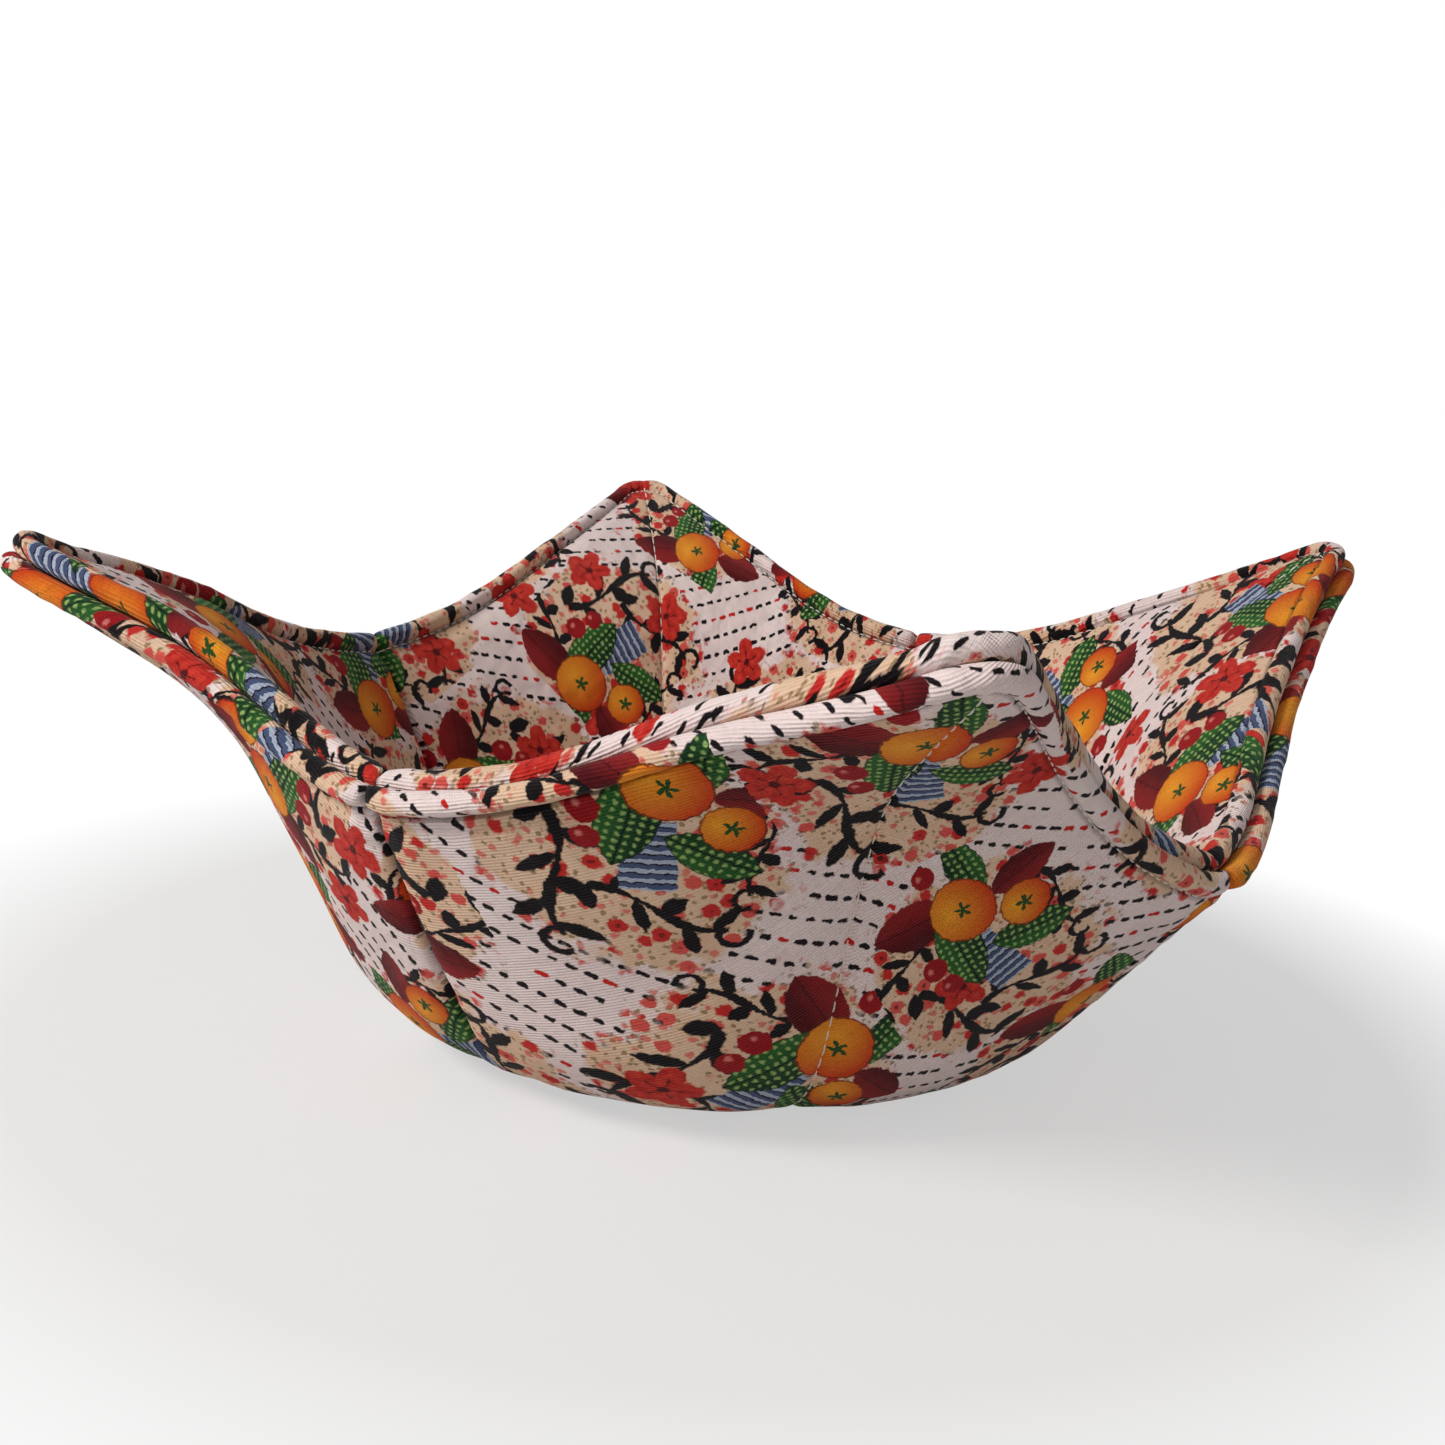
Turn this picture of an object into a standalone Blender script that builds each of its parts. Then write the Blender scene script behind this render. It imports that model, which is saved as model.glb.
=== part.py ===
# Microwave bowl cozy: a quilted square of cotton, darted into a soft bowl whose four
# corners flare outward as handles. Metres, +Z up, resting on its flat base.
import math

import bmesh
import bpy
import numpy as np

MM = 0.001

# Flat pattern of one layer, millimetres
HALF_SIDE = 123.5
CORNER_ROUND = 14.0
DART_TIP = 58.0

# Bowl shape: slope angles are degrees above the table, distances run from the centre
BASE_RADIUS = 39.0
KNUCKLE_LENGTH = 40.0
FLARE_START = 104.5
FLARE_LENGTH = 40.0
DART_FLARE_DEGREES = 4.0
DART_SLOPE_DEGREES = (60.0, 50.0, 65.0, 58.0)
CORNER_SLOPE_DEGREES = (69.5, 65.5, 65.5, 64.5)
CORNER_FLARE_DEGREES = (35.0, 26.0, 33.0, 35.0)
# Turn of each seam and corner about the bowl, seam 0 first, then counter-clockwise
TURN_DEGREES = (-2.0, 2.5, -8.0, -2.5, 3.0, -0.5, 1.5, 2.5)
# How far the wall folds at the seams rather than curving evenly, as a share, and the
# width over which the fold is softened, millimetres
FOLD_SHARE = 0.7
FOLD_SOFTNESS = 4.2

# Thicknesses of the layers and the clearance between them, millimetres
COTTON = 0.5
BATTING = 3.3
GAP = 0.3

# Rim: puffed roll, topstitched a little below the edge, cotton turned in inside it
STITCH_DEPTH = 4.3
STITCH_SINK = 0.9
STITCH_WIDTH = 1.3
TURN_IN = 6.6
RIM_ZONE = 12.0

# Seams pinch the wall
DART_PINCH_SHARE = 0.24
DART_PINCH_WIDTH = 4.5
QUILT_PINCH_SHARE = 0.10
QUILT_PINCH_WIDTH = 6.0
PINCH_FADE = 20.0
QUILT_END_FADE = 5.0

# Mesh columns round one eighth of the bowl, as shares of the way from seam to corner
COLUMNS = (0.0, 0.045, 0.18, 0.42, 0.70, 0.91, 1.0)

# Steps along the wall's section when its slope is summed up
PATH_STEPS = 64

# Worked out from the sizes above: the edge from a seam to a corner, half the gap between
# the two halves, the printed face above the mid plane, where the rim zone and the wall
# start, and the rings from the centre to the rim zone
EIGHTH_LENGTH = HALF_SIDE - CORNER_ROUND + CORNER_ROUND * math.pi / 4.0
HALF_GAP = GAP / 2.0
FACE = HALF_GAP + BATTING + GAP + COTTON
ZONE_START = HALF_SIDE - RIM_ZONE
WALL_START = BASE_RADIUS + KNUCKLE_LENGTH
KNUCKLE_RINGS = [BASE_RADIUS + KNUCKLE_LENGTH * share for share in (0.0, 0.22, 0.45, 0.7, 1.0)]
WALL_RINGS = [WALL_START + (ZONE_START - WALL_START) * share for share in (0.38, 0.7, 1.0)]
RINGS = KNUCKLE_RINGS + WALL_RINGS


def ease(x):
    x = np.clip(x, 0.0, 1.0)
    return x * x * (3.0 - 2.0 * x)


def outline(v):
    # Edge point and outward direction of the rounded square, v from side middle to corner
    straight = HALF_SIDE - CORNER_ROUND
    along = v * EIGHTH_LENGTH
    turn = np.clip((along - straight) / CORNER_ROUND, 0.0, math.pi / 4.0)
    x = straight + CORNER_ROUND * np.cos(turn)
    y = np.minimum(along, straight) + CORNER_ROUND * np.sin(turn)
    return x, y, np.cos(turn), np.sin(turn)


def corner_share(angle):
    # 0 on the line of a seam, 1 on the line of a corner
    straight = HALF_SIDE - CORNER_ROUND
    along = HALF_SIDE * np.tan(angle)
    dot = straight * (np.cos(angle) + np.sin(angle))
    reach = dot + np.sqrt(np.maximum(dot * dot - 2.0 * straight ** 2 + CORNER_ROUND ** 2, 0.0))
    turn = np.arctan2(reach * np.sin(angle) - straight, reach * np.cos(angle) - straight)
    along = np.where(along > straight, straight + CORNER_ROUND * turn, along)
    return np.clip(along / EIGHTH_LENGTH, 0.0, 1.0)


def panel_share(share):
    # Rises fastest beside a seam, so the panels lie flatter and fold at the darts
    ease_in = FOLD_SOFTNESS / EIGHTH_LENGTH
    soft = np.sqrt(share ** 2 + ease_in ** 2) - ease_in
    soft = soft / (math.sqrt(1.0 + ease_in ** 2) - ease_in)
    return FOLD_SHARE * soft * (2.0 - soft) + (1.0 - FOLD_SHARE) * ease(share)


def mid_surface(theta, s):
    # Middle of the wall at a pattern direction and a distance from the centre
    theta = np.mod(theta, 2.0 * math.pi)
    eighth = np.floor(theta / (math.pi / 4.0)).astype(int) % 8
    quarter = eighth // 2
    odd = eighth % 2
    local = theta - quarter * (math.pi / 2.0)
    local = np.where(odd == 1, math.pi / 2.0 - local, local)
    way = corner_share(np.clip(local, 0.0, math.pi / 4.0))
    share, panel = ease(way), panel_share(way)
    seam = (quarter + odd) % 4
    slope = np.take(DART_SLOPE_DEGREES, seam) * (1.0 - panel)
    slope = slope + np.take(CORNER_SLOPE_DEGREES, quarter) * panel
    flare = DART_FLARE_DEGREES * (1.0 - share) + np.take(CORNER_FLARE_DEGREES, quarter) * share
    turns = np.asarray(TURN_DEGREES)
    turn = turns[2 * seam] * (1.0 - panel) + turns[2 * quarter + 1] * panel
    steps = (np.arange(PATH_STEPS) + 0.5) / PATH_STEPS
    run = s[:, None] * steps[None, :]
    bend = slope[:, None] * ease((run - BASE_RADIUS) / KNUCKLE_LENGTH)
    bend = bend - flare[:, None] * ease((run - FLARE_START) / FLARE_LENGTH)
    bend = np.radians(bend)
    radius = s * np.cos(bend).mean(axis=1)
    height = s * np.sin(bend).mean(axis=1)
    azimuth = theta + np.radians(turn)
    return np.stack([radius * np.cos(azimuth), radius * np.sin(azimuth), height], axis=1)


def drape(blank):
    # Carry points of the round blank onto the bowl. The blank's radius runs from the
    # centre to the rim, its angle round the eighths, its height through the wall.
    angle = np.mod(np.arctan2(blank[:, 1], blank[:, 0]), 2.0 * math.pi)
    radius = np.hypot(blank[:, 0], blank[:, 1])
    part = angle / (math.pi / 4.0)
    eighth = np.floor(part + 1e-6).astype(int)
    rest = np.clip(part - eighth, 0.0, 1.0)
    eighth = eighth % 8
    odd = eighth % 2
    rest = np.where(odd == 1, 1.0 - rest, rest)
    v = np.interp(rest * (len(COLUMNS) - 1), np.arange(len(COLUMNS)), COLUMNS)
    edge_x, edge_y, out_x, out_y = outline(v)
    depth = np.minimum(HALF_SIDE - radius, RIM_ZONE)
    flat_x = edge_x - depth * out_x
    flat_y = edge_y - depth * out_y
    s = np.hypot(flat_x, flat_y)
    stretch = (s - BASE_RADIUS) / (ZONE_START - BASE_RADIUS)
    within = np.minimum(radius, BASE_RADIUS) + stretch * np.maximum(radius - BASE_RADIUS, 0.0)
    s = np.where(radius < ZONE_START, within, s)
    local = np.arctan2(flat_y, flat_x)
    theta = np.where(odd == 1, math.pi / 2.0 - local, local) + (eighth // 2) * (math.pi / 2.0)
    # Normal of the mid surface from small steps round it and outward, kept off the centre
    away = np.maximum(s, 1.0)
    turn_step = 0.002
    out_step = 0.2
    round_way = mid_surface(theta + turn_step, away) - mid_surface(theta - turn_step, away)
    out_way = mid_surface(theta, away + out_step) - mid_surface(theta, away - out_step)
    normal = np.cross(round_way, out_way)
    normal /= np.linalg.norm(normal, axis=1)[:, None]
    # Seam lines pull the two faces together
    off_seam = s * np.sin(local)
    off_quilt = s * np.sin(math.pi / 4.0 - local)
    dart = np.exp(-(off_seam / DART_PINCH_WIDTH) ** 2) * ease((s - DART_TIP) / PINCH_FADE)
    quilt = np.exp(-(off_quilt / QUILT_PINCH_WIDTH) ** 2) * ease((s - WALL_START) / PINCH_FADE)
    quilt *= ease((HALF_SIDE - radius - TURN_IN) / QUILT_END_FADE)
    pinch = 1.0 - DART_PINCH_SHARE * dart - QUILT_PINCH_SHARE * quilt
    place = mid_surface(theta, s) + (blank[:, 2] * pinch)[:, None] * normal
    place[:, 2] += FACE
    return place


def face_offset(depth):
    # Height of the printed face above the mid plane at a depth below the rim
    return FACE - STITCH_SINK * math.exp(-((depth - STITCH_DEPTH) / STITCH_WIDTH) ** 2)


def skin(inset, roll_angles):
    # Section from the centre to the mid plane at the rim, a given depth under the face
    points = [(0.0, FACE - inset)]
    points += [(r, FACE - inset) for r in RINGS]
    above = STITCH_DEPTH - STITCH_WIDTH
    below = STITCH_DEPTH + STITCH_WIDTH
    for depth in (below, STITCH_DEPTH, above):
        points.append((HALF_SIDE - depth, face_offset(depth) - inset))
    roll = (FACE - HALF_GAP) / 2.0
    for degrees in roll_angles:
        out = (roll - inset) * math.cos(math.radians(degrees))
        up = (roll - inset) * math.sin(math.radians(degrees))
        points.append((HALF_SIDE - roll + out, HALF_GAP + roll + up))
    return points


def cotton_profile():
    # Printed cotton: face, round the rim, turned in along the mid plane, and back inside
    angles = (90.0, 45.0, 0.0, -45.0, -90.0)
    turned = [(HALF_SIDE - TURN_IN, HALF_GAP), (HALF_SIDE - TURN_IN, HALF_GAP + COTTON)]
    return skin(0.0, angles) + turned + skin(COTTON, angles)[::-1]


def batting_profile():
    # Wadding: fills the half behind the cotton, thinner where the cotton is turned in
    points = skin(COTTON + GAP, (90.0, 0.0, -90.0))
    for depth in (TURN_IN, TURN_IN + BATTING / 2.0):
        points.append((HALF_SIDE - depth, HALF_GAP + COTTON + GAP))
    points += [(r, HALF_GAP) for r in reversed(RINGS)]
    points.append((0.0, HALF_GAP))
    return points


def split_fours(bm):
    # Split every four-sided face along one diagonal, the same way in all layers, so the
    # layers bend alike and keep their gaps
    for face in list(bm.faces):
        if len(face.verts) != 4:
            continue
        middle = face.calc_center_median()
        centre_angle = math.atan2(middle.y, middle.x)
        mean = sum(math.hypot(v.co.x, v.co.y) for v in face.verts) / 4.0
        sign = -1.0 if int(math.floor(centre_angle / (math.pi / 4.0))) % 2 else 1.0
        ranked = []
        for vert in face.verts:
            turn = math.atan2(vert.co.y, vert.co.x) - centre_angle
            turn = (turn + math.pi) % (2.0 * math.pi) - math.pi
            ranked.append((sign * turn * (math.hypot(vert.co.x, vert.co.y) - mean), vert.index, vert))
        ranked.sort(key=lambda item: (item[0], item[1]))
        first, second = ranked[3][2], ranked[2][2]
        if not any({first, second} == set(edge.verts) for edge in face.edges):
            bmesh.utils.face_split(face, first, second)


def cloth_material(name, colour, rough):
    mat = bpy.data.materials.new(name)
    mat.use_nodes = True
    shader = mat.node_tree.nodes["Principled BSDF"]
    shader.inputs["Base Color"].default_value = colour
    shader.inputs["Roughness"].default_value = rough
    return mat


def spun_layer(name, profile, side, material, home):
    # Spin the layer's section into a round blank, then drape the blank over the bowl
    bm = bmesh.new()
    verts = [bm.verts.new((r, 0.0, side * d)) for r, d in profile]
    edges = [bm.edges.new((a, b)) for a, b in zip(verts, verts[1:])]
    bmesh.ops.spin(
        bm,
        geom=verts + edges,
        cent=(0.0, 0.0, 0.0),
        axis=(0.0, 0.0, 1.0),
        angle=2.0 * math.pi,
        steps=8 * (len(COLUMNS) - 1),
        use_merge=True,
    )
    bmesh.ops.remove_doubles(bm, verts=bm.verts[:], dist=0.01)
    bmesh.ops.dissolve_degenerate(bm, dist=0.001, edges=bm.edges[:])
    bm.verts.index_update()
    split_fours(bm)
    blank = np.array([v.co[:] for v in bm.verts])
    shaped = drape(blank) * MM
    for vert, place in zip(bm.verts, shaped):
        vert.co = place
    bmesh.ops.recalc_face_normals(bm, faces=bm.faces[:])
    if bm.calc_volume(signed=True) < 0.0:
        bmesh.ops.reverse_faces(bm, faces=bm.faces[:])
    mesh = bpy.data.meshes.new(name)
    bm.to_mesh(mesh)
    bm.free()
    for face in mesh.polygons:
        face.use_smooth = True
    mesh.materials.append(material)
    obj = bpy.data.objects.new(name, mesh)
    home.objects.link(obj)
    return obj


for old in list(bpy.data.objects):
    bpy.data.objects.remove(old, do_unlink=True)

cozy = bpy.data.collections.new("microwave_bowl_cozy")
bpy.context.scene.collection.children.link(cozy)

outer_print = cloth_material("outer_print", (0.74, 0.52, 0.42, 1.0), 0.9)
lining_print = cloth_material("lining_print", (0.80, 0.62, 0.50, 1.0), 0.9)
outer_wadding = cloth_material("outer_wadding", (0.86, 0.84, 0.78, 1.0), 1.0)
inner_wadding = cloth_material("inner_wadding", (0.88, 0.86, 0.80, 1.0), 1.0)

spun_layer("outer_cover", cotton_profile(), 1.0, outer_print, cozy)
spun_layer("outer_batting", batting_profile(), 1.0, outer_wadding, cozy)
spun_layer("inner_batting", batting_profile(), -1.0, inner_wadding, cozy)
spun_layer("lining", cotton_profile(), -1.0, lining_print, cozy)
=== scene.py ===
# Looks of the microwave bowl cozy: two padded halves of printed cotton, sewn together at
# a rolled rim, topstitched under it and quilted corner to corner.
import math

import bpy
import numpy as np
from mathutils import Matrix, Vector


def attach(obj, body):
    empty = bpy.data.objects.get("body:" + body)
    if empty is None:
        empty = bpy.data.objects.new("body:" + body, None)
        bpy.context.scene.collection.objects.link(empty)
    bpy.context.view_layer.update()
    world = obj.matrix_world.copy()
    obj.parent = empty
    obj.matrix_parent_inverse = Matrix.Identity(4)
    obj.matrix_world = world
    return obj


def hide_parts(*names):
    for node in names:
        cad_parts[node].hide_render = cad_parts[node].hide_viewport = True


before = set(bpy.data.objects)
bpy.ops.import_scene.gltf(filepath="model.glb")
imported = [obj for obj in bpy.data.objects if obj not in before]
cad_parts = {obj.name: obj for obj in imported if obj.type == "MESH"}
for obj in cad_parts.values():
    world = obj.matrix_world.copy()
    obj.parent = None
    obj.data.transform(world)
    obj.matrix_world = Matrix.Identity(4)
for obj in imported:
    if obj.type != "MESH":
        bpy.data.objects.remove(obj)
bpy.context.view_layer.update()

MM = 0.001
# Millimetres of cloth in one unit of its UV layer
UV_UNIT = 100.0
EIGHTH_TURN = math.pi / 4.0
QUARTER_TURN = math.pi / 2.0
FULL_TURN = 2.0 * math.pi

# The bowl's shape, millimetres and degrees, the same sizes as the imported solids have
HALF_SIDE = 123.5
CORNER_ROUND = 14.0
DART_TIP = 58.0
DART_HALF_WIDTH = 18.0
BASE_RADIUS = 39.0
KNUCKLE_LENGTH = 40.0
FLARE_START = 104.5
FLARE_LENGTH = 40.0
DART_FLARE_DEGREES = 4.0
DART_SLOPE_DEGREES = (60.0, 50.0, 65.0, 58.0)
CORNER_SLOPE_DEGREES = (69.5, 65.5, 65.5, 64.5)
CORNER_FLARE_DEGREES = (35.0, 26.0, 33.0, 35.0)
TURN_DEGREES = (-2.0, 2.5, -8.0, -2.5, 3.0, -0.5, 1.5, 2.5)
FOLD_SHARE = 0.7
FOLD_SOFTNESS = 4.2
FACE = 4.25
HALF_GAP = 0.15
RIM_ZONE = 12.0
ZONE_START = HALF_SIDE - RIM_ZONE
STRAIGHT = HALF_SIDE - CORNER_ROUND
EIGHTH_LENGTH = STRAIGHT + CORNER_ROUND * EIGHTH_TURN
ROLL = (FACE - HALF_GAP) / 2.0

# Slow unevenness of the cloth: height, waves round the bowl, phase, and the distance from
# the centre over which the wave turns, and where it sets in
SAG_WAVES = ((0.8, 3.0, 1.1, 38.0), (0.55, 5.0, 0.0, -23.0), (0.35, 9.0, 0.6, 11.0))
SAG_START = 55.0
SAG_RAMP = 60.0

# Uneven wave of the puckers: height, rate and share of the phase
RIPPLE_WAVES = ((0.5, 1.18, 1.0), (0.35, 0.73, 2.1), (0.25, 0.41, 0.7))

# Topstitching: how deep it pulls in each eighth, as a share, and near the corners
STITCH_DEPTH = 4.3
STITCH_PULL = (1.0, 0.5, 0.85, 0.8, 0.9, 0.85, 0.9, 1.0)
CORNER_PULL = 0.5
CORNER_PULL_START = 0.68
CORNER_PULL_RAMP = 0.27

# Ridges and grooves of the sewn cloth: height, place and width of each. Places at the rim
# are depths below its edge, the others are distances from the seam.
RIM_PROFILE = (
    (0.75, 0.5 * STITCH_DEPTH, 1.5),
    (-1.25, STITCH_DEPTH, 0.5),
    (-0.9, STITCH_DEPTH + 0.8, 2.4),
)
RIM_PUCKERS = ((0.20, STITCH_DEPTH + 3.2, 3.6),)
ROLL_PUCKERS = ((0.13, 2.2, 1.7),)
RIM_FLATTEN = ((-0.5, 0.0, 13.0),)
DART_PROFILE = ((-1.5, 0.0, 0.7), (-0.8, 0.0, 3.0))
DART_PUCKERS = ((0.22, 3.2, 3.6),)
QUILT_PROFILE = ((-0.6, 0.0, 0.7), (-0.4, 0.0, 4.0))
QUILT_PUCKERS = ((0.13, 3.0, 3.4),)
SEAM_RAMP = 14.0
QUILT_START = 6.0
QUILT_RAMP = 10.0
QUILT_BASE_SHARE = 0.35
QUILT_RIM_SHARE = 0.12
QUILT_RIM_RAMP = 16.0
WALL_RAMP = 30.0
PANEL_CROWN = 0.9
CROWN_RAMP = 22.0
CROWN_POWER = 0.8
TIP_CREASE = 0.3
TIP_CREASE_OUT = 2.0
TIP_CREASE_LENGTH = 13.0
TIP_CREASE_WIDTH = 12.0
UNEVEN = 0.14
REST_RAMP = 12.0
REST_INSIDE = 4.0
ROLL_UNEVEN = 0.10
ROLL_PINCH = 0.3
ROLL_PINCH_WIDTH = 1.1

# Painted shade in the sewn folds, darkening the cloth's colour: how dark, how wide and how far below
# the stitching
CREASE_PAINTED_SHADE = 0.78
CREASE_WIDTH = 0.5
CREASE_BELOW = 0.15
SEAM_SHADE = 0.8

# Sewing thread
STITCH_PITCH = 2.7
STITCH_LENGTH = 2.3
STITCH_WANDER = 0.12
QUILT_PITCH = 3.0
QUILT_STITCH_LENGTH = 2.8
QUILT_END = 2.4
STITCH_RISE = 0.30
STITCH_DIP = 0.22
THREAD_RADIUS = 0.16
THREAD_END_SHARE = 0.55
THREAD_SIDES = 6
THREAD_SECTIONS = 7

# Mesh: places of the columns beside a seam or the quilting, the count of those between,
# the rows from the centre outward, and what the surface's slope is measured over
FINE = (0.0, 0.35, 0.8, 1.4, 2.2, 3.2, 4.5, 6.0, 8.0, 10.3)
MIDDLE_COLUMNS = 34
CENTRE_RADIUS = 2.5
FINE_ROWS_BELOW = 2.4
BASE_ROWS = 12
WALL_ROWS = 44
ZONE_ROWS = 9
STITCH_ROWS = 21
ROLL_ROWS = 16
BACK_ROWS = 12
PATH_STEPS = 48
TURN_STEP = 0.002
OUT_STEP = 0.2


def ease(x):
    x = np.clip(x, 0.0, 1.0)
    return x * x * (3.0 - 2.0 * x)


def bump(x, width):
    return np.exp(-(x / width) ** 2)


def relief(x, parts):
    return sum(height * bump(x - place_at, width) for height, place_at, width in parts)


def ripple(x, phase):
    return sum(height * np.sin(x * rate + share * phase) for height, rate, share in RIPPLE_WAVES)


# The mid surface of the wall, where the two halves meet. A place on it is an eighth of the
# square (from a seam to a corner), a share v of the way round it, and a radius.

def pattern_point(v, radius):
    # Distance from the centre and angle from the seam's line, on the flat square
    along = v * EIGHTH_LENGTH
    turn = np.clip((along - STRAIGHT) / CORNER_ROUND, 0.0, EIGHTH_TURN)
    depth = np.minimum(HALF_SIDE - radius, RIM_ZONE)
    x = STRAIGHT + CORNER_ROUND * np.cos(turn) - depth * np.cos(turn)
    y = np.minimum(along, STRAIGHT) + CORNER_ROUND * np.sin(turn) - depth * np.sin(turn)
    s = np.hypot(x, y)
    stretch = (s - BASE_RADIUS) / (ZONE_START - BASE_RADIUS)
    within = np.minimum(radius, BASE_RADIUS) + stretch * np.maximum(radius - BASE_RADIUS, 0.0)
    return np.where(radius < ZONE_START, within, s), np.arctan2(y, x)


def pattern_direction(eighth, local):
    # Direction on the whole square of an angle from the line of an eighth's seam
    from_quarter = np.where(eighth % 2 == 1, QUARTER_TURN - local, local)
    return from_quarter + (eighth // 2) * QUARTER_TURN


def corner_share(local):
    # 0 on the line of a seam, 1 on the line of a corner
    angle = np.clip(local, 0.0, EIGHTH_TURN)
    along = HALF_SIDE * np.tan(angle)
    dot = STRAIGHT * (np.cos(angle) + np.sin(angle))
    inside = dot * dot - 2.0 * STRAIGHT ** 2 + CORNER_ROUND ** 2
    reach = dot + np.sqrt(np.maximum(inside, 0.0))
    turn = np.arctan2(reach * np.sin(angle) - STRAIGHT, reach * np.cos(angle) - STRAIGHT)
    along = np.where(along > STRAIGHT, STRAIGHT + CORNER_ROUND * turn, along)
    return np.clip(along / EIGHTH_LENGTH, 0.0, 1.0)


def panel_share(share):
    # Rises fastest beside a seam, so the panels lie flatter and fold at the darts
    ease_in = FOLD_SOFTNESS / EIGHTH_LENGTH
    soft = np.sqrt(share ** 2 + ease_in ** 2) - ease_in
    soft = soft / (math.sqrt(1.0 + ease_in ** 2) - ease_in)
    return FOLD_SHARE * soft * (2.0 - soft) + (1.0 - FOLD_SHARE) * ease(share)


def mid_surface(theta, s):
    theta = np.mod(theta, FULL_TURN)
    eighth = np.floor(theta / EIGHTH_TURN).astype(int) % 8
    quarter, odd = eighth // 2, eighth % 2
    local = theta - quarter * QUARTER_TURN
    way = corner_share(np.where(odd == 1, QUARTER_TURN - local, local))
    share, panel = ease(way), panel_share(way)
    seam = (quarter + odd) % 4
    slope = np.take(DART_SLOPE_DEGREES, seam) * (1.0 - panel)
    slope = slope + np.take(CORNER_SLOPE_DEGREES, quarter) * panel
    flare = DART_FLARE_DEGREES * (1.0 - share) + np.take(CORNER_FLARE_DEGREES, quarter) * share
    turn = np.take(TURN_DEGREES, 2 * seam) * (1.0 - panel)
    turn = turn + np.take(TURN_DEGREES, 2 * quarter + 1) * panel
    # The slope is summed up along the cloth from the centre out
    steps = (np.arange(PATH_STEPS) + 0.5) / PATH_STEPS
    run = s[:, None] * steps[None, :]
    bend = slope[:, None] * ease((run - BASE_RADIUS) / KNUCKLE_LENGTH)
    bend = np.radians(bend - flare[:, None] * ease((run - FLARE_START) / FLARE_LENGTH))
    radius = s * np.cos(bend).mean(axis=1)
    height = s * np.sin(bend).mean(axis=1)
    azimuth = theta + np.radians(turn)
    return np.stack([radius * np.cos(azimuth), radius * np.sin(azimuth), height], axis=1)


def sag(theta, s):
    # Shared by both halves
    wave = sum(h * np.sin(n * theta + phase + s / length) for h, n, phase, length in SAG_WAVES)
    return wave * ease((s - SAG_START) / SAG_RAMP)


def place(eighth, v, radius, offset):
    # Point of the bowl at an offset outward from the mid surface
    s, local = pattern_point(v, radius)
    theta = pattern_direction(eighth, local)
    near = np.maximum(s, 1.0)
    across = mid_surface(theta + TURN_STEP, near) - mid_surface(theta - TURN_STEP, near)
    outward = mid_surface(theta, near + OUT_STEP) - mid_surface(theta, near - OUT_STEP)
    normal = np.cross(across, outward)
    normal /= np.linalg.norm(normal, axis=1)[:, None]
    point = mid_surface(theta, s) + (offset + sag(theta, s))[:, None] * normal
    point[:, 2] += FACE
    return point * MM


# Relief of one half's face: puffed wadding, pulled in by seams and stitching. The outer
# half has side 1 and the inner one side -1.

def stitch_pull(eighth, way):
    near_corner = ease((way - CORNER_PULL_START) / CORNER_PULL_RAMP)
    return np.take(STITCH_PULL, eighth) * (1.0 - near_corner) + CORNER_PULL * near_corner


def rim_relief(depth, held, rim_way, side):
    # Topstitched groove, with the roll above it and puckers below it
    height = held * relief(depth, RIM_PROFILE) + relief(depth, RIM_FLATTEN)
    height += held * relief(depth, RIM_PUCKERS) * ripple(rim_way, 0.4 + (side < 0))
    return height + relief(depth, ROLL_PUCKERS) * ripple(rim_way * 0.8, 2.0)


def dart_relief(s, off_seam, phase):
    # The dart's seam, and small creases that run out of its tip
    height = relief(off_seam, DART_PROFILE)
    height += relief(off_seam, DART_PUCKERS) * ripple(s * 0.9, phase)
    crease = TIP_CREASE * bump(s - DART_TIP - TIP_CREASE_OUT, TIP_CREASE_LENGTH)
    crease *= np.cos(off_seam * 0.55) * bump(off_seam, TIP_CREASE_WIDTH)
    return ease((s - DART_TIP) / SEAM_RAMP) * height + crease


def quilt_relief(s, off_quilt, depth, wall, phase):
    # Diagonal quilting, which lies shallow on the flat base and on the rim
    by_rim = ease((depth - STITCH_DEPTH) / QUILT_RIM_RAMP)
    pull = ease((s - QUILT_START) / QUILT_RAMP)
    pull *= QUILT_BASE_SHARE + (1.0 - QUILT_BASE_SHARE) * wall
    pull *= QUILT_RIM_SHARE + (1.0 - QUILT_RIM_SHARE) * by_rim
    height = relief(off_quilt, QUILT_PROFILE)
    return pull * (height + relief(off_quilt, QUILT_PUCKERS) * ripple(s * 1.1, phase))


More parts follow.
